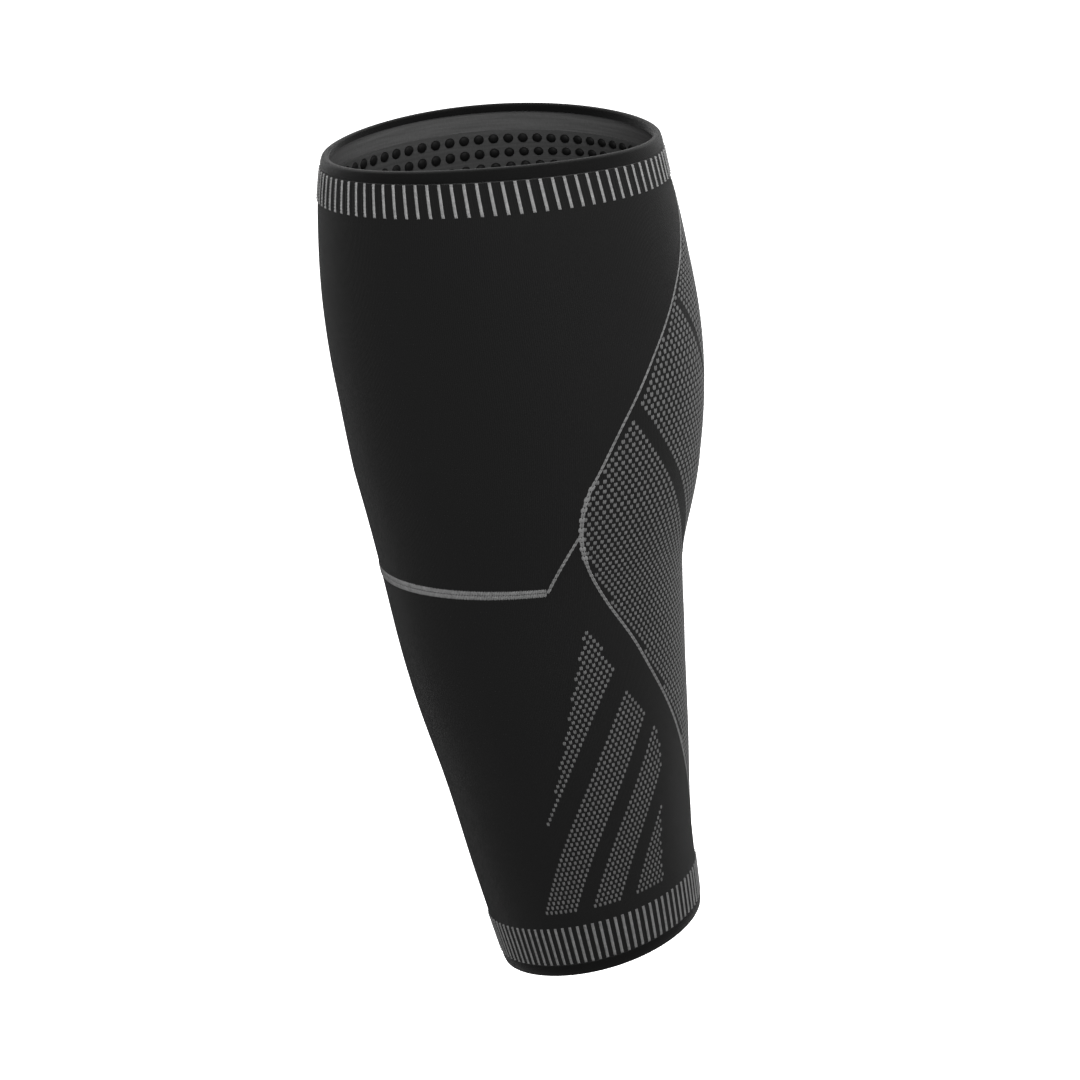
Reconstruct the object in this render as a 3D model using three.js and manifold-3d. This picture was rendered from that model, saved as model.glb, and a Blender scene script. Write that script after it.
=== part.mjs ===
// A knitted calf compression sleeve in the form that it keeps on a leg: a black tube with a ribbed cuff
// and a folded elastic edge at each end, and a band of silicone dots inside the top.
//
// Units are millimetres. +Z runs up the leg, -Y is the shin and +Y is the calf. The origin is on the
// leg's axis, half way up the sleeve.

import * as THREE from "three";
import { mergeVertices } from "three/addons/utils/BufferGeometryUtils.js";
import Module from "manifold-3d";

const wasm = await Module();
wasm.setup();

// Overall form
const SLEEVE_LENGTH = 282;
const CALF_DEPTH = 121; // shin to calf at the fullest level
const CALF_WIDTH = 114; // side to side at the fullest level
const RIM_SADDLE = 1.2; // rise of the top rim at the leg's two sides, and its dip at shin and calf
const FOOT_SADDLE = 0.8; // the same of the bottom rim, the other way up
const FOOT_TILT = 2.7; // how far the bottom rim dips at the shin and rises at the calf
const SHIN_NARROWING = 0.05; // share by which a section is slimmer on its shin side than its calf side

// Knitted fabric
const KNIT_WALL = 1.6;
const CLEARANCE = 0.3; // between any two pieces

// Ribbed cuffs
const TOP_CUFF_HEIGHT = 9.9;
const BOTTOM_CUFF_HEIGHT = 14;
const RIB_COUNT = 88;
const RIB_RELIEF = 0.4; // from valley to crest

// Folded elastic edges, which hug a thinner neck of each cuff
const TOP_BINDING_HEIGHT = 3.9;
const BOTTOM_BINDING_HEIGHT = 4.4;
const TOP_FOLD_INSIDE = 2.6; // height of the fold's inner leg
const BOTTOM_FOLD_INSIDE = 3;
const TAPE_THICKNESS = 0.6;
const FOLD_RISE = 1; // height over which the fold rounds off

// Gripping band inside the top
const GRIP_DROP = 5.3; // from the foot of the tape to the band's upper edge
const GRIP_TAPE = 0.7;
const GRIP_EDGE = 2.8; // from the band's edge to the middle of its first or last row of dots
const GRIP_ROWS = 3;
const GRIP_ROW_PITCH = 5.2;
const GRIP_DOT_PITCH = 4.8;
const GRIP_DOT_DIAMETER = 3.4;
const GRIP_DOT_RELIEF = 0.9;
const GRIP_DOT_ROOT = 0.35; // how far a dot is bedded in the tape

// Fineness of the solids
const SIDES = 44; // flats round the leg
const BODY_LEVELS = 14;
const FOLD_STEPS = 4;
const DOT_SIDES = 6;

// The leg's form from the top rim down: `down` is a share of the sleeve's length, `depth` and `back` are
// shares of CALF_DEPTH, and `width` is a share of CALF_WIDTH. `back` is how far the section's centre lies
// behind the origin.
const LEG = [
  { down: 0.0, depth: 0.905, width: 0.9, back: 0.002 },
  { down: 0.07, depth: 0.955, width: 0.971, back: -0.003 },
  { down: 0.16, depth: 0.993, width: 1.0, back: 0.003 },
  { down: 0.27, depth: 1.0, width: 0.996, back: 0.018 },
  { down: 0.38, depth: 0.95, width: 0.935, back: 0.013 },
  { down: 0.5, depth: 0.84, width: 0.817, back: 0.0 },
  { down: 0.62, depth: 0.78, width: 0.751, back: 0.011 },
  { down: 0.74, depth: 0.707, width: 0.671, back: 0.035 },
  { down: 0.86, depth: 0.638, width: 0.598, back: 0.055 },
  { down: 1.0, depth: 0.574, width: 0.52, back: 0.093 },
];

// The slope of a column of LEG at one of its rows.
function slopeAtRow(column, row) {
  const before = LEG[Math.max(row - 1, 0)];
  const after = LEG[Math.min(row + 1, LEG.length - 1)];
  return (after[column] - before[column]) / (after.down - before.down);
}

// A column of LEG at any share of the sleeve's length, on a smooth cubic through the rows.
function along(column, share) {
  const next = LEG.findIndex((row) => row.down > share);
  const end = next < 0 ? LEG.length - 1 : Math.max(next, 1);
  const from = LEG[end - 1];
  const to = LEG[end];
  const span = to.down - from.down;
  const t = (share - from.down) / span;
  return (
    (2 * t ** 3 - 3 * t ** 2 + 1) * from[column] +
    (t ** 3 - 2 * t ** 2 + t) * span * slopeAtRow(column, end - 1) +
    (3 * t ** 2 - 2 * t ** 3) * to[column] +
    (t ** 3 - t ** 2) * span * slopeAtRow(column, end)
  );
}

// How steeply the leg's centre line runs backwards as it goes up.
function centreSlope(share) {
  const step = 0.001;
  const change = along("back", share + step) - along("back", share - step);
  return (-change * CALF_DEPTH) / (2 * step * SLEEVE_LENGTH);
}

// The point `out` outside the leg's surface, `down` below the top rim, at the angle `turn` round the leg.
// A turn of 0 is the +X side and a quarter turn is the calf. Each section stands square to the centre line.
function legPoint(down, turn, out) {
  const share = down / SLEEVE_LENGTH;
  const halfDepth = (CALF_DEPTH * along("depth", share)) / 2;
  const halfWidth = (CALF_WIDTH * along("width", share)) / 2;
  const [c, s] = [Math.cos(turn), Math.sin(turn)];
  const narrowing = 1 + SHIN_NARROWING * s;
  const tangent = new THREE.Vector2(
    halfWidth * (SHIN_NARROWING * c * c - s * narrowing),
    halfDepth * c,
  ).normalize();
  const x = halfWidth * c * narrowing + out * tangent.y;
  const y = halfDepth * s - out * tangent.x;
  const rim = (1 - share) ** 4 * RIM_SADDLE * (c * c - s * s);
  const foot = share ** 8 * (FOOT_TILT * s - FOOT_SADDLE * (c * c - s * s));
  const z = SLEEVE_LENGTH / 2 - down - centreSlope(share) * y + rim + foot;
  return new THREE.Vector3(x, CALF_DEPTH * along("back", share) + y, z);
}

// The radius of a round tube as big round as the leg is at this level.
function meanRadius(down) {
  const share = down / SLEEVE_LENGTH;
  return (CALF_DEPTH * along("depth", share) + CALF_WIDTH * along("width", share)) / 4;
}

// Moves a shape from a straight round tube of this radius, which stands on the Y axis with its rim at
// y = 0, on to the leg.
function wrapOnLeg(geometry, radius) {
  const places = geometry.getAttribute("position");
  for (let i = 0; i < places.count; i++) {
    const [x, y, z] = [places.getX(i), places.getY(i), places.getZ(i)];
    const spot = legPoint(-y, Math.atan2(x, z), Math.hypot(x, z) - radius);
    places.setXYZ(i, spot.x, spot.y, spot.z);
  }
  return geometry;
}

function toSolid(geometry) {
  const bare = geometry.clone();
  bare.deleteAttribute("normal");
  bare.deleteAttribute("uv");
  const merged = mergeVertices(bare);
  return new wasm.Manifold(
    new wasm.Mesh({
      numProp: 3,
      vertProperties: merged.getAttribute("position").array,
      triVerts: new Uint32Array(merged.index.array),
    }),
  );
}

function toGeometry(solid) {
  const mesh = solid.getMesh();
  const geometry = new THREE.BufferGeometry();
  geometry.setAttribute("position", new THREE.BufferAttribute(mesh.vertProperties, 3));
  geometry.setIndex(new THREE.BufferAttribute(mesh.triVerts, 1));
  return geometry;
}

function fuse(base, details) {
  return toGeometry(details.reduce((whole, detail) => whole.add(toSolid(detail)), toSolid(base)));
}

// The corners of one loop round the leg. A ribbed loop has a crest and a valley for each rib.
function loopCorners({ down, out, ribbed }) {
  const count = ribbed ? 2 * RIB_COUNT : SIDES;
  const corners = [];
  for (let i = 0; i < count; i++) {
    const crest = ribbed && i % 2 === 0 ? RIB_RELIEF : 0;
    corners.push(legPoint(down, (2 * Math.PI * i) / count, out + crest));
  }
  return corners;
}

// Triangles between two neighbouring loops, which may have different numbers of corners.
function stitchLoops(lower, upper, triangles) {
  let [i, j] = [0, 0];
  while (i < lower.count || j < upper.count) {
    const a = lower.first + (i % lower.count);
    const b = upper.first + (j % upper.count);
    if ((i + 1) / lower.count <= (j + 1) / upper.count) {
      i++;
      triangles.push(a, lower.first + (i % lower.count), b);
    } else {
      j++;
      triangles.push(a, upper.first + (j % upper.count), b);
    }
  }
}

// A ring round the leg. Its section is a closed list of { down, out, ribbed }, with the outside first,
// from below to above, and the inside after it, from above to below.
function ring(section) {
  const corners = [];
  const loops = section.map((place) => {
    const loop = loopCorners(place);
    corners.push(...loop);
    return { first: corners.length - loop.length, count: loop.length };
  });
  const triangles = [];
  loops.forEach((loop, k) => stitchLoops(loop, loops[(k + 1) % loops.length], triangles));
  return new THREE.BufferGeometry().setFromPoints(corners).setIndex(triangles);
}

// The sleeve's two ends. A height is measured from the end's rim towards the middle of the sleeve.
const TOP_END = {
  binding: TOP_BINDING_HEIGHT,
  foldInside: TOP_FOLD_INSIDE,
  cuff: TOP_CUFF_HEIGHT,
  downAt: (height) => height,
};
const BOTTOM_END = {
  binding: BOTTOM_BINDING_HEIGHT,
  foldInside: BOTTOM_FOLD_INSIDE,
  cuff: BOTTOM_CUFF_HEIGHT,
  downAt: (height) => SLEEVE_LENGTH - height,
};

// A ring at one end. Its section is given as [out, height, ribbed], in the order that suits the top.
function endRing(end, section) {
  const placed = section.map(([out, height, ribbed]) => ({ down: end.downAt(height), out, ribbed }));
  const upright = placed[0].down > placed[1].down;
  return ring(upright ? placed : placed.reverse());
}

const cuffStart = (end) => end.binding + CLEARANCE;
const cuffEnd = (end) => cuffStart(end) + end.cuff;

// The folded tape: a rounded crown with a leg outside and a shorter leg inside the cuff's neck.
function bindingShape(end) {
  const thickness = KNIT_WALL + CLEARANCE + TAPE_THICKNESS;
  const crown = [];
  for (let step = 0; step <= FOLD_STEPS; step++) {
    const angle = (Math.PI * step) / FOLD_STEPS;
    crown.push([(thickness / 2) * (Math.cos(angle) - 1), FOLD_RISE * (1 - Math.sin(angle))]);
  }
  return endRing(end, [
    [0, end.binding],
    ...crown,
    [-thickness, end.foldInside],
    [TAPE_THICKNESS - thickness, end.foldInside],
    [TAPE_THICKNESS - thickness, FOLD_RISE],
    [-TAPE_THICKNESS, FOLD_RISE],
    [-TAPE_THICKNESS, end.binding],
  ]);
}

// The cuff: a thin neck inside the folded tape, then the full wall with its raised ribs.
function cuffShape(end) {
  const neckOutside = -TAPE_THICKNESS - CLEARANCE;
  const neckTop = FOLD_RISE + CLEARANCE;
  return endRing(end, [
    [0, cuffEnd(end), true],
    [0, cuffStart(end), true],
    [neckOutside, cuffStart(end)],
    [neckOutside, neckTop],
    [-KNIT_WALL, neckTop],
    [-KNIT_WALL, cuffEnd(end)],
  ]);
}

function bodyShape() {
  const start = TOP_END.downAt(cuffEnd(TOP_END) + CLEARANCE);
  const end = BOTTOM_END.downAt(cuffEnd(BOTTOM_END) + CLEARANCE);
  const levels = [];
  for (let i = 0; i <= BODY_LEVELS; i++) {
    levels.push(THREE.MathUtils.lerp(start, end, i / BODY_LEVELS));
  }
  const outside = levels.map((down) => ({ out: 0, down })).reverse();
  const inside = levels.map((down) => ({ out: -KNIT_WALL, down }));
  return ring([...outside, ...inside]);
}

// One silicone dot: a low cone on the band's inner face.
function gripDot(down, turn, faceOut) {
  const radius = meanRadius(down);
  const height = GRIP_DOT_RELIEF + GRIP_DOT_ROOT;
  const dot = new THREE.ConeGeometry(GRIP_DOT_DIAMETER / 2, height, DOT_SIDES);
  dot.rotateX(-Math.PI / 2);
  dot.translate(0, 0, radius + faceOut + GRIP_DOT_ROOT - height / 2);
  dot.rotateY(turn);
  dot.translate(0, -down, 0);
  return wrapOnLeg(dot, radius);
}

// The elastic tape with its rows of dots, inside the cuff and the top of the body.
function gripShape() {
  const top = TOP_END.downAt(TOP_END.binding + GRIP_DROP);
  const height = 2 * GRIP_EDGE + (GRIP_ROWS - 1) * GRIP_ROW_PITCH;
  const outside = -KNIT_WALL - CLEARANCE;
  const inside = outside - GRIP_TAPE;
  const levels = [top, top + height / 2, top + height];
  const tape = ring([
    ...levels.map((down) => ({ out: outside, down })).reverse(),
    ...levels.map((down) => ({ out: inside, down })),
  ]);
  const dots = [];
  for (let row = 0; row < GRIP_ROWS; row++) {
    const down = top + GRIP_EDGE + row * GRIP_ROW_PITCH;
    const count = Math.round((2 * Math.PI * (meanRadius(top) + inside)) / GRIP_DOT_PITCH);
    for (let i = 0; i < count; i++) {
      dots.push(gripDot(down, (2 * Math.PI * (i + 0.5)) / count, inside));
    }
  }
  return fuse(tape, dots);
}

const KNIT_BLACK = new THREE.MeshStandardMaterial({ color: 0x1e1e1e, roughness: 0.9, metalness: 0 });
const RIB_GREY = new THREE.MeshStandardMaterial({ color: 0x4a4a4a, roughness: 0.9, metalness: 0 });
const EDGE_BLACK = new THREE.MeshStandardMaterial({ color: 0x161616, roughness: 0.8, metalness: 0 });
const SILICONE_BLACK = new THREE.MeshStandardMaterial({ color: 0x121212, roughness: 0.35, metalness: 0 });

function namedMesh(name, geometry, material) {
  geometry.computeVertexNormals();
  const mesh = new THREE.Mesh(geometry, material);
  mesh.name = name;
  return mesh;
}

const sleeve = new THREE.Group();
sleeve.add(
  namedMesh("sleeve_body", bodyShape(), KNIT_BLACK),
  namedMesh("top_cuff", cuffShape(TOP_END), RIB_GREY),
  namedMesh("bottom_cuff", cuffShape(BOTTOM_END), RIB_GREY),
  namedMesh("top_binding", bindingShape(TOP_END), EDGE_BLACK),
  namedMesh("bottom_binding", bindingShape(BOTTOM_END), EDGE_BLACK),
  namedMesh("grip_band", gripShape(), SILICONE_BLACK),
);

export default sleeve;
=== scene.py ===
# Dresses a knitted calf compression sleeve for its photograph. A fine mesh of the same form stands for each
# solid: the knitted tube, the two ribbed cuffs, the two folded tapes and the gripping band. The grey pattern
# is made of loops of yarn that lie on the tube's own grid of stitches.
#
# Lengths are metres and turns round the leg are degrees. +Z runs up the leg, -Y is the shin and +Y the calf.

import math

import bmesh
import bpy
import numpy as np
from mathutils import Matrix, Vector


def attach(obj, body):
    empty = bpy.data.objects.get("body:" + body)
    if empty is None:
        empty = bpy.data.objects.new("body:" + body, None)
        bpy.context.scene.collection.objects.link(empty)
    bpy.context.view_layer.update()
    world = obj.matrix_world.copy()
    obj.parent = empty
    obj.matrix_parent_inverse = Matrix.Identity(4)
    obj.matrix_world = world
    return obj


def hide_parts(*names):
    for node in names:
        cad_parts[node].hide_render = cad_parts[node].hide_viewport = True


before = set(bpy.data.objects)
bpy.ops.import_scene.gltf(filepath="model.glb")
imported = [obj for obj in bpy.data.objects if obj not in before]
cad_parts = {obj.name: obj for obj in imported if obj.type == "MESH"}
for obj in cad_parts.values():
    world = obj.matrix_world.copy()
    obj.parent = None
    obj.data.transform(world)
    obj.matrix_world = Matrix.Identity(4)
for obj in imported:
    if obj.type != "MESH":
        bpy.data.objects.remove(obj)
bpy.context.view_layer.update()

# The camera, which stands where the photograph's stood
CAMERA_AZIMUTH = 83
CAMERA_ELEVATION = 18.42
CAMERA_ROLL = -5.78
CAMERA_DISTANCE = 1.2
CAMERA_LENS = 119.6  # millimetres, on a sensor 36 mm wide
CAMERA_SENSOR = 36
CAMERA_AIM = Vector((0, 0.00148, 0))
CAMERA_AIM_RIGHT = 0.00125  # how far right of the aim the middle of the picture lies
CAMERA_AIM_UP = 0.00356

# The studio
FLOOR_DROP = 0.3  # from the sleeve's foot to the floor
BACKDROP_RADIUS = 8.0
FLOOR_SHARE = 0.7  # half the floor's side, as a share of that radius
PAPER_WHITE = 0.9
PAPER_GLOW = 1.5
ROOM_LIGHT = 0.3
LIGHT_COLUMNS = ("name", "azimuth", "elevation", "distance", "size", "power")
LIGHT_ROWS = (
    ("key", 86, 30, 1.3, 0.9, 15),
    ("calf_light", 165, 12, 1.4, 0.8, 8),
    ("back_light", 263, 60, 1.2, 0.6, 14),
)

# The overall form, as in the solids
SLEEVE_LENGTH = 0.282
CALF_DEPTH = 0.121
CALF_WIDTH = 0.114
RIM_SADDLE = 0.0012
FOOT_SADDLE = 0.0008
FOOT_TILT = 0.0027
SHIN_NARROWING = 0.05
KNIT_WALL = 0.0016
CLEARANCE = 0.0003

# The folded tapes and the necks of the cuffs inside them
TAPE_THICKNESS = 0.0006
FOLD_RISE = 0.001
TAPE_SWELL = 0.0002  # how far the tape's outside is rounded out
CROWN_STEPS = 12
TAPE_STEPS = 4

# The ribs of the cuffs
RIB_COUNT = 88
RIB_RELIEF = 0.0004
RIB_COLUMNS = 16  # faces across one rib
RIB_STITCH = 0.0009  # height of a stitch on a rib
RIB_LEVELS = 12
RIB_FADE = 0.0012  # height over which a rib rises at its ends
CREST_SPREAD = 1.3  # half width of a rib's crest, as a share of its grey's
RIB_YARN_BASE = 0.6  # share of the relief at which a rib's yarn lies
BLACK_WALE_RELIEF = 0.00012

# The gripping band
GRIP_DROP = 0.0053
GRIP_TAPE = 0.0007
GRIP_EDGE = 0.0028
GRIP_ROWS = 3
GRIP_ROW_PITCH = 0.0052
GRIP_DOT_PITCH = 0.0048
GRIP_DOT_DIAMETER = 0.0034
GRIP_DOT_RELIEF = 0.0009
GRIP_DOT_ROOT = 0.0003
GRIP_DOT_SIDES = 18
GRIP_DOT_STEPS = 5
GRIP_LEVELS = 9

# The knitted tube's grid: a wale is one column of stitches and a row is one course of the pattern
WALES = 276
WALE = 360 / WALES
ROWS = 144
INSIDE_LEVELS = 56

# The two ends. A height is measured from the rim towards the middle of the sleeve, `grey` is how many of a
# rib's columns are grey, and `rib_lean` is how many degrees a rib at the leg's side leans towards the calf.
TOP = {
    "binding": 0.0039,
    "fold_inside": 0.0026,
    "cuff": 0.0099,
    "grey": 4,
    "rib_lean": 1.4,
    "down": lambda height: height,
}
BOTTOM = {
    "binding": 0.0044,
    "fold_inside": 0.003,
    "cuff": 0.014,
    "grey": 6,
    "rib_lean": 0,
    "down": lambda height: SLEEVE_LENGTH - height,
}

# The leg's form from the top rim down, in shares: `down` of the sleeve's length, `depth` and `back` of
# CALF_DEPTH, and `width` of CALF_WIDTH.
LEG_COLUMNS = ("down", "depth", "width", "back")
LEG_ROWS = (
    (0.0, 0.905, 0.9, 0.002),
    (0.07, 0.955, 0.971, -0.003),
    (0.16, 0.993, 1.0, 0.003),
    (0.27, 1.0, 0.996, 0.018),
    (0.38, 0.95, 0.935, 0.013),
    (0.5, 0.84, 0.817, 0.0),
    (0.62, 0.78, 0.751, 0.011),
    (0.74, 0.707, 0.671, 0.035),
    (0.86, 0.638, 0.598, 0.055),
    (1.0, 0.574, 0.52, 0.093),
)
LEG = dict(zip(LEG_COLUMNS, np.array(LEG_ROWS).T))

# The grey pattern. Turns run from -90 at the shin to 90 at the calf and are the same on both sides.
OUTLINE_COLUMNS = ("down", "turn")
OUTLINE_ROWS = (
    (0.06, 90),
    (0.1, 78),
    (0.15, 64),
    (0.2, 50.5),
    (0.25, 36.5),
    (0.3, 25),
    (0.35, 16.5),
    (0.39, 11),
    (0.43, 10),
    (0.47, 12.8),
    (0.52, 20),
    (0.58, 31),
    (0.65, 42.8),
    (0.72, 55.5),
    (0.79, 68),
    (0.86, 82),
    (0.9, 90),
)
OUTLINE = dict(zip(OUTLINE_COLUMNS, np.array(OUTLINE_ROWS, dtype=float).T))
OUTLINE_WAIST = (0.36, 0.47)  # where the dots run on to the outline
PANEL_GAP = 1.3  # from the outline to the dots, in wales
WAIST_GAP = 0.7

SHIN_LINE_DOWN = 0.497
SHIN_LINE_END = -2
SHIN_LINE_ROWS = 2
SHIN_LINE_THICKNESS = 0.0027
SHIN_LINE_RISE = 0.426  # where its thin end meets the outline
LINE_STITCH = 0.0015  # width of a stitch in the thin lines
LINE_LENGTH = 1.3  # height of a stitch in any line, in rows, so that each runs into the next
SHIN_LINE_WIDTH = 1.4  # width of a stitch in the shin line, in wales
WAIST_SWELL = (1.2, 1.8)  # how much wider the line's odd and even stitches are at the outline's waist

# Black diagonals across the calf panel, each one or two missing lines of dots: the turn that it has at
# DIAGONALS_AT, a share of the length, and where it starts and ends
DIAGONALS_AT = 0.3
DIAGONALS = (
    {"turn": 31.9, "lines": 2, "start": 0.285, "end": 0.58},
    {"turn": 77.2, "lines": 1, "start": 0.2, "end": 0.37},
)

# Dotted bars below the panel. They lean the other way, so each is bounded by its turns at BARS_AT.
BARS_AT = 0.5
BAR_TURNS = ((None, 46.3), (56.4, 73.1), (82, 98), (106, 140))
BAR_GAP = 14.8  # between the outline and the bars
BAR_FOOT = 0.9155
EDGE_COLUMNS = ("down", "turn")
FIRST_BAR_ROWS = ((0.546, 11.5), (0.7, -5.8), (0.79, -18), (0.835, -27.2))
FIRST_BAR_EDGE = dict(zip(EDGE_COLUMNS, np.array(FIRST_BAR_ROWS).T))
BACK_EDGE_ROWS = ((0.7, 43.5), (0.8, 40.5), (0.9155, 35.7))
BACK_EDGE = dict(zip(EDGE_COLUMNS, np.array(BACK_EDGE_ROWS).T))

# One stitch of the black jersey, a V of two legs: how far a leg lies from the wale's middle at its top and
# at its foot, and how wide its yarn is, in wales
JERSEY_HEAD = 0.29
JERSEY_FOOT = 0.21
JERSEY_YARN = 0.5

# One stitch of grey yarn, in wales across and rows down
STITCH_HEAD = 0.27  # from the wale's middle to the upper end of a leg
STITCH_FOOT = 0.2
STITCH_TOP = 0.03
STITCH_BOTTOM = 0.92
YARN_WIDTH = 0.78
STITCH_WIDTH = 2 * STITCH_HEAD + YARN_WIDTH  # both legs together
YARN_RELIEF = 0.00026
YARN_ROOT = 0.4  # share of the relief by which a leg is bedded in
YARN_RINGS = ((0.18, 0.82), (0.5, 1.0), (0.82, 0.82))  # place along the leg, and thickness there

SHARP_ANGLE = 50

# How light each cloth is, as a share of white. The ribs, dots and lines are all one grey yarn: the four yarn
# shades below differ as painted light and shade, lighter where a zone is lit more brightly.
KNIT_SHADE = 0.009
KNIT_INSIDE_SHADE = 0.045
CUFF_INSIDE_SHADE = 0.085
TAPE_SHADE = 0.003
GRIP_TAPE_SHADE = 0.06
TOP_RIB_SHADE = 0.26
BOTTOM_RIB_SHADE = 0.175
DOT_SHADE = 0.135
LINE_SHADE = 0.185
SILICONE_SHADE = 0.003

# How deep each cloth's bump is, and how its darkest and lightest tones stand to its shade
KNIT_BUMP = 0.00008
# The knit's darker tone falls as painted shade in the hollows between its stitches' legs, and in random
# patches.
KNIT_TONES = (0.85, 1.12)
YARN_BUMP = 0.00006
YARN_TONES = (0.5, 1.5)
INSIDE_BUMP = 0.0003
INSIDE_TONES = (0.55, 1.4)
TAPE_BUMP = 0.00004
TAPE_TONES = (0.7, 1.4)
SILICONE_BUMP = 0.00008
SILICONE_TONES = (1, 2)


def smooth(places, values, at):
    """The value at any place, on a smooth cubic through the given ones."""
    row = np.arange(len(places))
    before, after = np.maximum(row - 1, 0), np.minimum(row + 1, len(places) - 1)
    slopes = (values[after] - values[before]) / (places[after] - places[before])
    end = np.clip(np.searchsorted(places, at, side="right"), 1, len(places) - 1)
    start = end - 1
    span = places[end] - places[start]
    t = (at - places[start]) / span
    return (
        (2 * t**3 - 3 * t**2 + 1) * values[start]
        + (t**3 - 2 * t**2 + t) * span * slopes[start]
        + (3 * t**2 - 2 * t**3) * values[end]
        + (t**3 - t**2) * span * slopes[end]
    )


def leg_form(column, share):
    return smooth(LEG["down"], LEG[column], share)


def leg_point(down, turn, out):
    """Points `out` outside the leg's surface, `down` below the top rim, at `turn` round the leg."""
    down, turn, out = np.broadcast_arrays(down, np.radians(turn), out)
    share = down / SLEEVE_LENGTH
    half_depth = CALF_DEPTH * leg_form("depth", share) / 2
    half_width = CALF_WIDTH * leg_form("width", share) / 2
    c, s = np.cos(turn), np.sin(turn)
    narrowing = 1 + SHIN_NARROWING * s
    tangent_x = half_width * (SHIN_NARROWING * c * c - s * narrowing)
    tangent_y = half_depth * c
    length = np.hypot(tangent_x, tangent_y)
    x = half_width * c * narrowing + out * tangent_y / length
    y = half_depth * s - out * tangent_x / length
    step = 0.001
    lean = (leg_form("back", share - step) - leg_form("back", share + step)) / (2 * step)
    rim = (1 - share) ** 4 * RIM_SADDLE * (c * c - s * s)
    foot = share**8 * (FOOT_TILT * s - FOOT_SADDLE * (c * c - s * s))
    z = SLEEVE_LENGTH / 2 - down - lean * CALF_DEPTH / SLEEVE_LENGTH * y + rim + foot
    return np.stack([x, CALF_DEPTH * leg_form("back", share) + y, z], axis=-1)


def mean_radius(down):
    share = down / SLEEVE_LENGTH
    return (CALF_DEPTH * leg_form("depth", share) + CALF_WIDTH * leg_form("width", share)) / 4


def cuff_start(end):
    return end["binding"] + CLEARANCE


def cuff_end(end):
    return cuff_start(end) + end["cuff"]


BODY_START = TOP["down"](cuff_end(TOP))
BODY_END = BOTTOM["down"](cuff_end(BOTTOM))
ROW = (BODY_END - BODY_START) / ROWS
DIAGONAL_SLOPE = WALE * SLEEVE_LENGTH / ROW  # degrees round the leg for the whole length, one wale a row


# Materials


class Shading:
    """A material with one Principled shader, and short ways to add nodes to it."""

    def __init__(self, name, roughness, specular, sheen=0.0, sheen_roughness=0.4):
        self.material = bpy.data.materials.new(name)
        self.material.use_nodes = True
        self.tree = self.material.node_tree
        self.shader = self.tree.nodes["Principled BSDF"]
        self.shader.inputs["Roughness"].default_value = roughness
        self.shader.inputs["Specular IOR Level"].default_value = specular
        self.shader.inputs["Sheen Weight"].default_value = sheen
        self.shader.inputs["Sheen Roughness"].default_value = sheen_roughness

    def node(self, kind, **inputs):
        node = self.tree.nodes.new(kind)
        for name, value in inputs.items():
            self.feed(node.inputs[name], value)
        return node, node.outputs[0]

    def feed(self, socket, value):
        if isinstance(value, bpy.types.NodeSocket):
            self.tree.links.new(value, socket)
        else:
            socket.default_value = value

    def calc(self, operation, *values):
        node = self.tree.nodes.new("ShaderNodeMath")
        node.operation = operation
        for socket, value in zip(node.inputs, values):
            self.feed(socket, value)
        return node.outputs[0]

    def grid_place(self):
        """The place on the knitted grid: wales across and rows down."""
        uv = self.tree.nodes.new("ShaderNodeTexCoord").outputs["UV"]
        parts = self.tree.nodes.new("ShaderNodeSeparateXYZ")
        self.tree.links.new(uv, parts.inputs[0])
        return uv, parts.outputs["X"], parts.outputs["Y"]

    def noise(self, vector, scale, detail=2.0, stretch=(1, 1, 1)):
        mapping, moved = self.node("ShaderNodeMapping", Vector=vector)
        mapping.inputs["Scale"].default_value = stretch
        _, value = self.node("ShaderNodeTexNoise", Vector=moved, Scale=scale, Detail=detail)
        return value

    def colour(self, share, shade, tones):
        """Grey between the darker and the lighter tone of a shade."""
        dark, light = (shade * tone for tone in tones)
        mix = self.tree.nodes.new("ShaderNodeMix")
        mix.data_type = "RGBA"
        self.feed(mix.inputs["Factor"], share)
        mix.inputs["A"].default_value = (dark, dark, dark, 1)
        mix.inputs["B"].default_value = (light, light, light, 1)
        self.tree.links.new(mix.outputs["Result"], self.shader.inputs["Base Color"])

    def bump(self, height, depth):
        _, normal = self.node("ShaderNodeBump", Height=height, Distance=depth, Strength=1.0)
        self.tree.links.new(normal, self.shader.inputs["Normal"])


def knit_material(name, shade):
    """Jersey: each stitch is a V of two raised legs, fine enough to look smooth from afar."""
    look = Shading(name, roughness=0.85, specular=0.1, sheen=0.08)
    uv, across, down = look.grid_place()
    from_middle = look.calc("ABSOLUTE", look.calc("SUBTRACT", look.calc("FRACT", across), 0.5))
    along_leg = look.calc("FRACT", down)
    leg = look.calc("MULTIPLY_ADD", along_leg, JERSEY_FOOT - JERSEY_HEAD, JERSEY_HEAD)
    beside = look.calc("DIVIDE", look.calc("SUBTRACT", from_middle, leg), JERSEY_YARN / 2)
    height = look.calc("MAXIMUM", look.calc("SUBTRACT", 1.0, look.calc("MULTIPLY", beside, beside)), 0.0)
    fibre = look.noise(uv, scale=6.0)
    look.bump(look.calc("MULTIPLY_ADD", fibre, 0.25, height), KNIT_BUMP)
    patches = look.noise(uv, scale=0.05, stretch=(1, 0.6, 1))
    # The colour follows the legs' height: darker in the hollows between them, which is painted shade, mixed
    # with random patches of tone.
    share = look.calc("MULTIPLY_ADD", patches, 0.4, look.calc("MULTIPLY", height, 0.6))
    look.colour(share, shade, KNIT_TONES)
    return look.material


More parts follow.
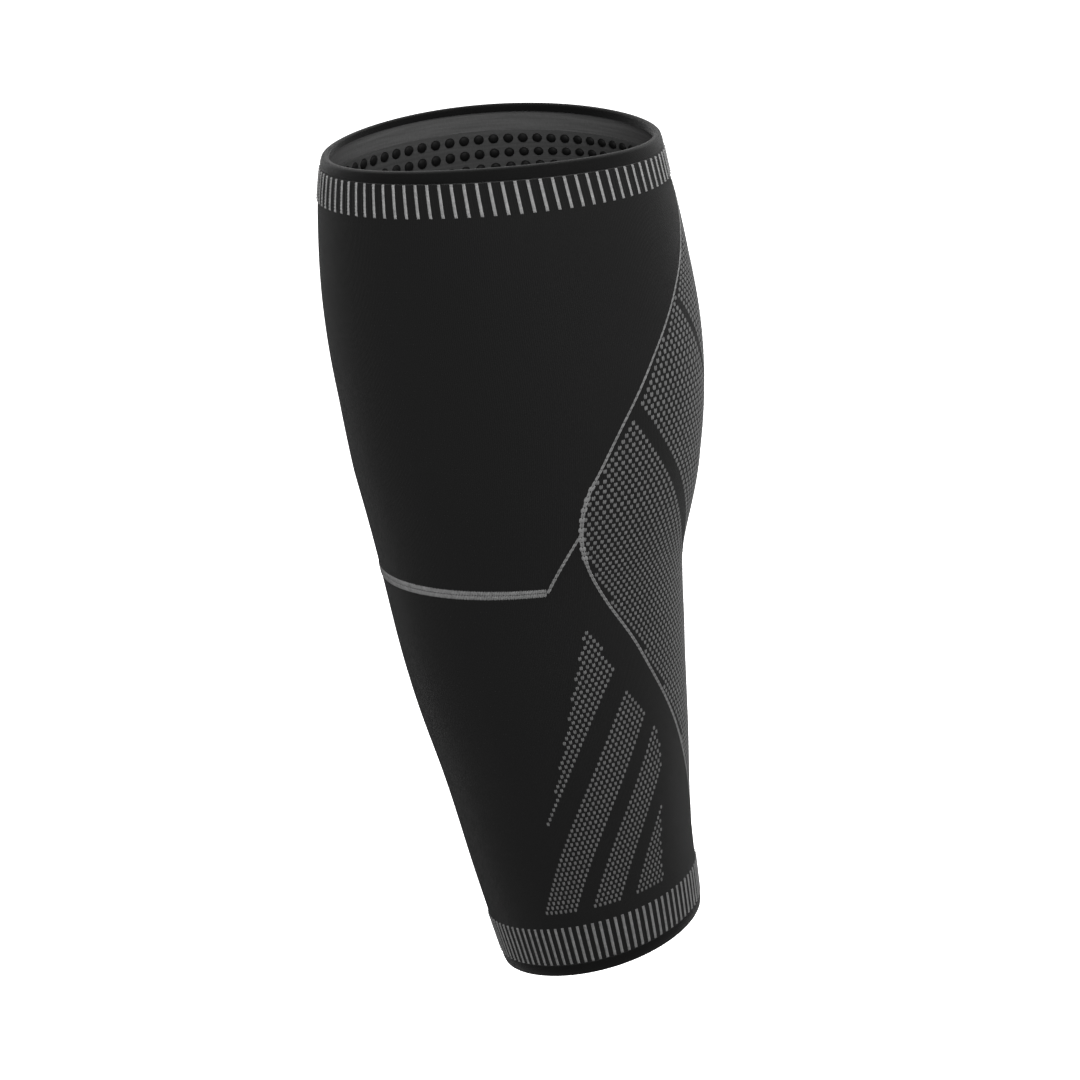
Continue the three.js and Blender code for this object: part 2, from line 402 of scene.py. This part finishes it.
def yarn_material(name, shade):
    """Grey yarn: fine fibres that vary a little in tone."""
    look = Shading(name, roughness=0.85, specular=0.2)
    place = look.tree.nodes.new("ShaderNodeTexCoord").outputs["Object"]
    fibre = look.noise(place, scale=5000.0, stretch=(1, 1, 0.4))
    look.bump(fibre, YARN_BUMP)
    look.colour(look.noise(place, scale=900.0), shade, YARN_TONES)
    return look.material


def inside_material(name, shade):
    """The tube's inside, where loose yarns float round the leg between the stitches."""
    look = Shading(name, roughness=0.9, specular=0.15, sheen=0.03)
    uv, _, _ = look.grid_place()
    floats = look.noise(uv, scale=1.0, detail=3.0, stretch=(0.06, 1.6, 1))
    loops = look.noise(uv, scale=2.2, stretch=(1, 0.5, 1))
    height = look.calc("MULTIPLY_ADD", floats, 0.7, look.calc("MULTIPLY", loops, 0.3))
    look.bump(height, INSIDE_BUMP)
    look.colour(height, shade, INSIDE_TONES)
    return look.material


def tape_material(name, shade):
    """Elastic tape: fine raised wales with a faint twill across them."""
    look = Shading(name, roughness=0.8, specular=0.1, sheen=0.16)
    uv, across, down = look.grid_place()
    wales = look.calc("SINE", look.calc("MULTIPLY", across, 2 * math.pi * 3))
    twill = look.calc("SINE", look.calc("MULTIPLY", look.calc("ADD", across, down), 2 * math.pi * 2))
    height = look.calc("MULTIPLY_ADD", twill, 0.25, look.calc("MULTIPLY", wales, 0.4))
    look.bump(look.calc("ADD", height, look.noise(uv, scale=3.0)), TAPE_BUMP)
    look.colour(look.noise(uv, scale=0.3, stretch=(0.3, 1, 1)), shade, TAPE_TONES)
    return look.material


def silicone_material():
    look = Shading("silicone", roughness=0.6, specular=0.15)
    place = look.tree.nodes.new("ShaderNodeTexCoord").outputs["Object"]
    look.bump(look.noise(place, scale=900.0), SILICONE_BUMP)
    look.colour(look.noise(place, scale=250.0), SILICONE_SHADE, SILICONE_TONES)
    return look.material


# Meshes


def add_piece(name, points, faces, materials, stands_for=(), uv=None, paint=None):
    """A piece of the sleeve, from its corners and faces. `paint` says which material each face has."""
    mesh = bpy.data.meshes.new(name)
    mesh.from_pydata(np.reshape(points, (-1, 3)).tolist(), [], faces)
    for material in materials:
        mesh.materials.append(material)
    if uv is not None:
        mesh.uv_layers.new(name="grid").data.foreach_set("uv", np.ravel(uv))
    if paint is not None:
        mesh.polygons.foreach_set("material_index", paint)
    mesh.shade_smooth()
    mesh.set_sharp_from_angle(angle=math.radians(SHARP_ANGLE))
    piece = bpy.data.objects.new(name, mesh)
    bpy.context.scene.collection.objects.link(piece)
    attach(piece, "root")
    if stands_for:
        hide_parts(*stands_for)
    return piece


def add_ring(name, section, columns, materials, stands_for, paint=None):
    """A closed ring round the leg. Its section lists (down, out) places: down the outside, then up the
    inside. `out` may differ from column to column, and a third number leans the columns towards the calf.
    `paint` gets the section's step and the column."""
    down = np.array([place[0] for place in section], dtype=float)
    out = np.array([np.broadcast_to(place[1], columns) for place in section])
    lean = np.array([place[2] if len(place) > 2 else 0.0 for place in section])
    turn = np.arange(columns) * 360 / columns
    points = leg_point(down[:, None], turn + lean[:, None] * np.cos(np.radians(turn)), out)
    middle_out = out.mean(axis=1)
    reach = np.hypot(np.diff(down, append=down[0]), np.diff(middle_out, append=middle_out[0]))
    rows_along = np.concatenate([[0.0], np.cumsum(reach)]) / ROW
    step, column = np.meshgrid(np.arange(len(section)), np.arange(columns), indexing="ij")
    step, column = step.ravel(), column.ravel()
    corner_step = np.stack([step, step + 1, step + 1, step], axis=-1)
    corner_column = np.stack([column, column, column + 1, column + 1], axis=-1)
    faces = (corner_step % len(section)) * columns + corner_column % columns
    uv = np.stack([corner_column * WALES / columns, rows_along[corner_step]], axis=-1)
    painted = None if paint is None else paint(step, column).astype(np.int32)
    return add_piece(name, points, faces.tolist(), materials, stands_for, uv, painted)


def end_section(end, section):
    """A section given as (height, out) for the top end, placed at either end of the sleeve."""
    placed = [(end["down"](height), *rest) for height, *rest in section]
    return placed if end is TOP else placed[::-1]


def stitch_template():
    """One stitch's corners as (across, below, relief) and its triangles and quads."""
    corners, triangles, quads = [], [], []
    for side in (-1, 1):
        first = len(corners)

        def add_corner(along, sideways, height):
            across = side * (STITCH_HEAD + (STITCH_FOOT - STITCH_HEAD) * along) + sideways
            corners.append((across, STITCH_TOP + (STITCH_BOTTOM - STITCH_TOP) * along, height))

        add_corner(0, 0, 0)
        for along, thickness in YARN_RINGS:
            add_corner(along, -thickness * YARN_WIDTH / 2, -YARN_ROOT)
            add_corner(along, 0, thickness)
            add_corner(along, thickness * YARN_WIDTH / 2, -YARN_ROOT)
        add_corner(1, 0, 0)
        rings = [first + 1 + 3 * k for k in range(len(YARN_RINGS))]
        last = len(corners) - 1
        for i in range(3):
            j = (i + 1) % 3
            triangles.append((first, rings[0] + i, rings[0] + j))
            triangles.append((last, rings[-1] + j, rings[-1] + i))
            for a, b in zip(rings, rings[1:]):
                quads.append((a + i, b + i, b + j, a + j))
    return np.array(corners), np.array(triangles), np.array(quads)


def add_stitches(name, down, turn, material, lean=0.0, height=ROW, base=0.0,
                 width=STITCH_WIDTH * WALE):
    """Stitches of yarn, each with its top `down` the sleeve and its middle at `turn`. `lean` is how many
    degrees a stitch shifts round the leg from its top to its bottom."""
    corners, triangles, quads = stitch_template()
    across, below, relief = corners.T
    down, turn, lean, base, width = (
        np.broadcast_to(value, np.shape(turn))[:, None] for value in (down, turn, lean, base, width)
    )
    points = leg_point(
        down + below * height,
        turn + across / STITCH_WIDTH * width + (below - 0.5) * lean,
        base + relief * YARN_RELIEF,
    )
    first = np.arange(len(turn))[:, None, None] * len(corners)
    faces = (first + triangles).reshape(-1, 3).tolist() + (first + quads).reshape(-1, 4).tolist()
    return add_piece(name, points, faces, [material])


# The pattern on the knitted grid


def both_sides(turn):
    """Turns on the +X side and the turns opposite them on the -X side."""
    return np.concatenate([turn, 180 - turn])


def outline_turn(share):
    return smooth(OUTLINE["down"], OUTLINE["turn"], share)


def grid_cells():
    """Every cell of the knitted grid: its row, its turn, its share of the length and its turn from the shin
    to the calf."""
    row, wale = np.meshgrid(np.arange(ROWS), np.arange(WALES), indexing="ij")
    turn = (wale + 0.5) * WALE
    share = (BODY_START + (row + 0.5) * ROW) / SLEEVE_LENGTH
    side_turn = np.degrees(np.arcsin(np.sin(np.radians(turn))))
    return row, wale, turn, share, side_turn


def in_panel(share, side_turn):
    waist = (share > OUTLINE_WAIST[0]) & (share < OUTLINE_WAIST[1])
    gap = np.where(waist, WAIST_GAP, PANEL_GAP) * WALE
    inside = (share > OUTLINE["down"][0]) & (share < OUTLINE["down"][-1])
    inside &= side_turn > outline_turn(share) + gap
    for band in DIAGONALS:
        middle = band["turn"] + DIAGONAL_SLOPE * (share - DIAGONALS_AT)
        crossed = abs(side_turn - middle) < band["lines"] * WALE
        inside &= ~(crossed & (share > band["start"]) & (share < band["end"]))
    return inside


def in_bars(share, side_turn):
    at_half = side_turn + DIAGONAL_SLOPE * (share - BARS_AT)
    first_edge = smooth(FIRST_BAR_EDGE["down"], FIRST_BAR_EDGE["turn"], share)
    inside = np.zeros(share.shape, dtype=bool)
    for start, end in BAR_TURNS:
        if start is None:
            after_start = (side_turn >= first_edge) & (share < FIRST_BAR_EDGE["down"][-1])
        else:
            after_start = at_half >= start
        inside |= after_start & (at_half <= end)
    inside &= (share > FIRST_BAR_EDGE["down"][0]) & (share < BAR_FOOT)
    back_edge = smooth(BACK_EDGE["down"], BACK_EDGE["turn"], share)
    return inside & (side_turn < outline_turn(share) - BAR_GAP) & (side_turn < back_edge)


def add_dots(name, where, material):
    """Every second stitch of a zone, like the squares of one colour on a chessboard."""
    row, wale, turn, share, side_turn = grid_cells()
    chosen = where(share, side_turn) & ((row + wale) % 2 == 0)
    return add_stitches(name, BODY_START + row[chosen] * ROW, turn[chosen], material)


def line_stitches(start, end, turn_at, waist_swell=(1, 1)):
    """One stitch a row on a line that runs down the sleeve. At the waist the odd and even ones swell."""
    rows = np.arange(ROWS)
    share = (BODY_START + (rows + 0.5) * ROW) / SLEEVE_LENGTH
    rows, share = rows[(share > start) & (share < end)], share[(share > start) & (share < end)]
    half = LINE_LENGTH * ROW / SLEEVE_LENGTH / 2
    lean = turn_at(share + half) - turn_at(share - half)
    waist = (share > OUTLINE_WAIST[0]) & (share < OUTLINE_WAIST[1])
    swell = np.where(rows % 2 == 0, waist_swell[1], waist_swell[0])
    width = LINE_STITCH * np.where(waist, swell, 1.0)
    return BODY_START + (rows + 0.5 - LINE_LENGTH / 2) * ROW, turn_at(share), lean, width


def add_lines(material):
    """The calf panel's outline, the line round the shin and the thin line that joins them."""

    def rising_turn(share):
        t = (SHIN_LINE_DOWN - share) / (SHIN_LINE_DOWN - SHIN_LINE_RISE)
        return SHIN_LINE_END + t * (outline_turn(SHIN_LINE_RISE) - SHIN_LINE_END)

    down, turn, lean, width = [], [], [], []
    for stitches in (
        line_stitches(OUTLINE["down"][0], OUTLINE["down"][-1], outline_turn, WAIST_SWELL),
        line_stitches(SHIN_LINE_RISE, SHIN_LINE_DOWN, rising_turn),
    ):
        down.append(np.tile(stitches[0], 2))
        turn.append(both_sides(stitches[1]))
        lean.append(np.concatenate([stitches[2], -stitches[2]]))
        width.append(np.tile(stitches[3], 2))
    down = np.concatenate(down)
    add_stitches("outline_stitches", down, np.concatenate(turn), material,
                 lean=np.concatenate(lean), height=LINE_LENGTH * ROW,
                 width=np.degrees(np.concatenate(width) / mean_radius(down)))

    pitch = SHIN_LINE_THICKNESS / SHIN_LINE_ROWS
    start = SHIN_LINE_DOWN * SLEEVE_LENGTH - SHIN_LINE_THICKNESS / 2
    wale_turns = (np.arange(WALES) + 0.5) * WALE - 180
    front = wale_turns[abs(wale_turns + 90) < 90 + SHIN_LINE_END]
    row, turn = np.meshgrid(np.arange(SHIN_LINE_ROWS), front, indexing="ij")
    add_stitches("shin_line_stitches", start + (row.ravel() + 0.5 - LINE_LENGTH / 2) * pitch, turn.ravel(),
                 material, height=LINE_LENGTH * pitch, width=SHIN_LINE_WIDTH * WALE)


# The pieces


def add_body():
    outside = [(BODY_START + row * ROW, 0.0) for row in range(ROWS + 1)]
    inside = [(down, -KNIT_WALL) for down in np.linspace(BODY_END, BODY_START, INSIDE_LEVELS)]
    materials = [knit_material("knit_black", KNIT_SHADE), inside_material("knit_inside", KNIT_INSIDE_SHADE)]
    add_ring("sleeve_knit", outside + inside, WALES, materials, ["sleeve_body"],
             lambda step, column: step >= ROWS)


def add_cuff(end, name, node, grey_yarn):
    columns = RIB_COUNT * RIB_COLUMNS
    from_crest = np.arange(columns) % RIB_COLUMNS / RIB_COLUMNS
    from_crest = np.minimum(from_crest, 1 - from_crest)
    half_grey = end["grey"] / RIB_COLUMNS / 2
    crest = RIB_RELIEF * np.maximum(1 - (from_crest / (CREST_SPREAD * half_grey)) ** 2, 0)
    beyond = np.clip((from_crest - half_grey) / (0.5 - half_grey), 0, 1)
    ribs = np.maximum(crest, BLACK_WALE_RELIEF * np.sin(math.pi * beyond) ** 2)

    start, finish = cuff_start(end), cuff_end(end)
    neck_outside = -TAPE_THICKNESS - CLEARANCE
    neck_top = FOLD_RISE + CLEARANCE
    heights = np.linspace(start, finish, RIB_LEVELS + 1)
    fades = np.clip(np.minimum(heights - start, finish - heights) / RIB_FADE, 0, 1)
    leans = end["rib_lean"] * (heights - start) / (finish - start)
    ribbed = [(height, ribs * fade, lean) for height, fade, lean in zip(heights, fades, leans)]
    section = end_section(end, ribbed + [
        (finish, -KNIT_WALL, end["rib_lean"]),
        (neck_top, -KNIT_WALL),
        (neck_top, neck_outside),
        (start, neck_outside),
    ])

    first_ribbed = 0 if end is TOP else len(section) - len(ribbed)

    def paint(step, column):
        shifted = (column + end["grey"] // 2) % RIB_COLUMNS
        on_ribs = (step >= first_ribbed) & (step < first_ribbed + RIB_LEVELS)
        return np.where(on_ribs, np.where(shifted < end["grey"], 1, 0), 2)

    materials = [
        knit_material(name + "_black", KNIT_SHADE),
        grey_yarn,
        inside_material(name + "_inside", CUFF_INSIDE_SHADE),
    ]
    add_ring(name, section, columns, materials, [node], paint)

    rows = round(end["cuff"] / RIB_STITCH)
    pitch = end["cuff"] / rows
    row, rib = np.meshgrid(np.arange(rows), np.arange(RIB_COUNT), indexing="ij")
    top = min(end["down"](start), end["down"](finish))
    turn = rib.ravel() * 360 / RIB_COUNT
    lean = end["rib_lean"] * np.cos(np.radians(turn)) / rows
    leaning_turn = turn + lean * (row.ravel() + 0.5)
    add_stitches(name + "_stitches", top + row.ravel() * pitch, leaning_turn, grey_yarn,
                 lean=lean, height=pitch, base=RIB_RELIEF * RIB_YARN_BASE,
                 width=2 * half_grey * 360 / RIB_COUNT)


def add_binding(end, name, node):
    thickness = KNIT_WALL + CLEARANCE + TAPE_THICKNESS
    crown = [
        (FOLD_RISE * (1 - math.sin(angle)), thickness / 2 * (math.cos(angle) - 1))
        for angle in np.linspace(math.pi, 0, CROWN_STEPS + 1)
    ]
    foot = end["binding"]
    outside = [
        (FOLD_RISE + (foot - FOLD_RISE) * t, TAPE_SWELL * math.sin(math.pi * t))
        for t in np.arange(1, TAPE_STEPS + 1) / TAPE_STEPS
    ]
    section = end_section(end, crown + outside + [
        (foot, -TAPE_THICKNESS),
        (FOLD_RISE, -TAPE_THICKNESS),
        (FOLD_RISE, TAPE_THICKNESS - thickness),
        (end["fold_inside"], TAPE_THICKNESS - thickness),
        (end["fold_inside"], -thickness),
    ])
    cloth = tape_material(name + "_cloth", TAPE_SHADE)
    add_ring(name, section, 2 * WALES, [cloth], [node])


def grip_start():
    return TOP["binding"] + GRIP_DROP


def add_grip_tape():
    outside = -KNIT_WALL - CLEARANCE
    inside = outside - GRIP_TAPE
    height = 2 * GRIP_EDGE + (GRIP_ROWS - 1) * GRIP_ROW_PITCH
    levels = np.linspace(grip_start(), grip_start() + height, GRIP_LEVELS)
    section = [(down, outside) for down in levels] + [(down, inside) for down in levels[::-1]]
    cloth = inside_material("grip_tape_cloth", GRIP_TAPE_SHADE)
    add_ring("grip_tape", section, WALES, [cloth], ["grip_band"])


def add_grip_dots():
    """Low domes of silicone on the band's inner face."""
    face = -KNIT_WALL - CLEARANCE - GRIP_TAPE
    count = round(2 * math.pi * (mean_radius(grip_start()) + face) / GRIP_DOT_PITCH)
    rise = np.linspace(0, math.pi / 2, GRIP_DOT_STEPS + 1)[:-1]
    around = np.arange(GRIP_DOT_SIDES) * 2 * math.pi / GRIP_DOT_SIDES
    ring_radius = np.concatenate([[1.0], np.cos(rise)]) * GRIP_DOT_DIAMETER / 2
    ring_height = np.concatenate([[-GRIP_DOT_ROOT], GRIP_DOT_RELIEF * np.sin(rise)])
    across = np.append(np.outer(ring_radius, np.cos(around)).ravel(), 0)
    below = np.append(np.outer(ring_radius, np.sin(around)).ravel(), 0)
    height = np.append(np.repeat(ring_height, GRIP_DOT_SIDES), GRIP_DOT_RELIEF)

    row, place = np.meshgrid(np.arange(GRIP_ROWS), np.arange(count), indexing="ij")
    down = grip_start() + GRIP_EDGE + row.ravel()[:, None] * GRIP_ROW_PITCH
    turn = (place.ravel()[:, None] + 0.5) * 360 / count
    points = leg_point(
        down + below,
        turn + np.degrees(across / (mean_radius(down) + face)),
        face - height,
    )

    faces = [tuple(range(GRIP_DOT_SIDES))]
    for side in range(GRIP_DOT_SIDES):
        beside = (side + 1) % GRIP_DOT_SIDES
        for ring in range(len(ring_radius) - 1):
            low, high = ring * GRIP_DOT_SIDES, (ring + 1) * GRIP_DOT_SIDES
            faces.append((low + beside, low + side, high + side, high + beside))
        last = (len(ring_radius) - 1) * GRIP_DOT_SIDES
        faces.append((last + beside, last + side, len(across) - 1))
    all_faces = [
        tuple(corner + dot * len(across) for corner in face_corners)
        for dot in range(turn.size)
        for face_corners in faces
    ]
    add_piece("grip_dots", points, all_faces, [silicone_material()])


# The studio


def glowing_paper(name):
    look = Shading(name, roughness=0.9, specular=0.1)
    look.shader.inputs["Base Color"].default_value = (PAPER_WHITE, PAPER_WHITE, PAPER_WHITE, 1)
    look.shader.inputs["Emission Color"].default_value = (1, 1, 1, 1)
    look.shader.inputs["Emission Strength"].default_value = PAPER_GLOW
    return look.material


def add_stage(name, mesh, material):
    """White paper that the camera sees but that throws no light on the sleeve."""
    mesh.materials.append(material)
    paper = bpy.data.objects.new(name, mesh)
    paper.visible_diffuse = False
    paper.visible_glossy = False
    paper.visible_shadow = False
    bpy.context.scene.collection.objects.link(paper)


def add_floor_and_backdrop():
    level = -SLEEVE_LENGTH / 2 - FLOOR_DROP
    size = BACKDROP_RADIUS * FLOOR_SHARE
    corners = [(x * size, y * size, level) for x, y in ((-1, -1), (1, -1), (1, 1), (-1, 1))]
    floor = bpy.data.meshes.new("floor")
    floor.from_pydata(corners, [], [(0, 1, 2, 3)])
    add_stage("floor", floor, glowing_paper("floor_paper"))
    shell = bmesh.new()
    bmesh.ops.create_uvsphere(shell, u_segments=48, v_segments=24, radius=BACKDROP_RADIUS)
    backdrop = bpy.data.meshes.new("backdrop")
    shell.to_mesh(backdrop)
    shell.free()
    add_stage("backdrop", backdrop, glowing_paper("backdrop_paper"))


def direction(azimuth, elevation):
    """From the sleeve towards a light or the camera. Azimuth 0 is in front of the shin, 90 at the +X side."""
    a, e = math.radians(azimuth), math.radians(elevation)
    return Vector((math.sin(a) * math.cos(e), -math.cos(a) * math.cos(e), math.sin(e)))


def add_light(name, azimuth, elevation, distance, size, power):
    towards = direction(azimuth, elevation)
    lamp = bpy.data.lights.new(name, "AREA")
    lamp.size = size
    lamp.energy = power
    light = bpy.data.objects.new(name, lamp)
    light.location = towards * distance
    light.rotation_euler = towards.to_track_quat("Z", "Y").to_euler()
    bpy.context.scene.collection.objects.link(light)


def add_world():
    world = bpy.data.worlds.new("studio")
    world.use_nodes = True
    world.node_tree.nodes["Background"].inputs["Color"].default_value = (1, 1, 1, 1)
    world.node_tree.nodes["Background"].inputs["Strength"].default_value = ROOM_LIGHT
    bpy.context.scene.world = world
    bpy.context.scene.view_settings.view_transform = "Standard"


def add_camera():
    back = direction(CAMERA_AZIMUTH, CAMERA_ELEVATION)
    azimuth = math.radians(CAMERA_AZIMUTH)
    level_right = Vector((math.cos(azimuth), math.sin(azimuth), 0))
    turned = Matrix.Rotation(math.radians(CAMERA_ROLL), 3, back)
    right, up = turned @ level_right, turned @ back.cross(level_right)
    camera = bpy.data.objects.new("camera", bpy.data.cameras.new("camera"))
    camera.data.lens = CAMERA_LENS
    camera.data.sensor_width = CAMERA_SENSOR
    place = CAMERA_AIM + back * CAMERA_DISTANCE + right * CAMERA_AIM_RIGHT + up * CAMERA_AIM_UP
    camera.matrix_world = Matrix.Translation(place) @ Matrix((right, up, back)).transposed().to_4x4()
    bpy.context.scene.collection.objects.link(camera)
    bpy.context.scene.camera = camera


add_camera()
add_world()
add_floor_and_backdrop()
for light_row in LIGHT_ROWS:
    add_light(**dict(zip(LIGHT_COLUMNS, light_row)))

add_body()
# The ribs, dots and lines are one grey yarn, given a different shade in each zone as painted light and shade.
add_cuff(TOP, "top_rib", "top_cuff", yarn_material("top_rib_yarn", TOP_RIB_SHADE))
add_cuff(BOTTOM, "bottom_rib", "bottom_cuff", yarn_material("bottom_rib_yarn", BOTTOM_RIB_SHADE))
add_binding(TOP, "top_tape", "top_binding")
add_binding(BOTTOM, "bottom_tape", "bottom_binding")
add_grip_tape()
add_grip_dots()
dot_yarn = yarn_material("dot_yarn", DOT_SHADE)
add_dots("panel_stitches", in_panel, dot_yarn)
add_dots("bar_stitches", in_bars, dot_yarn)
add_lines(yarn_material("line_yarn", LINE_SHADE))
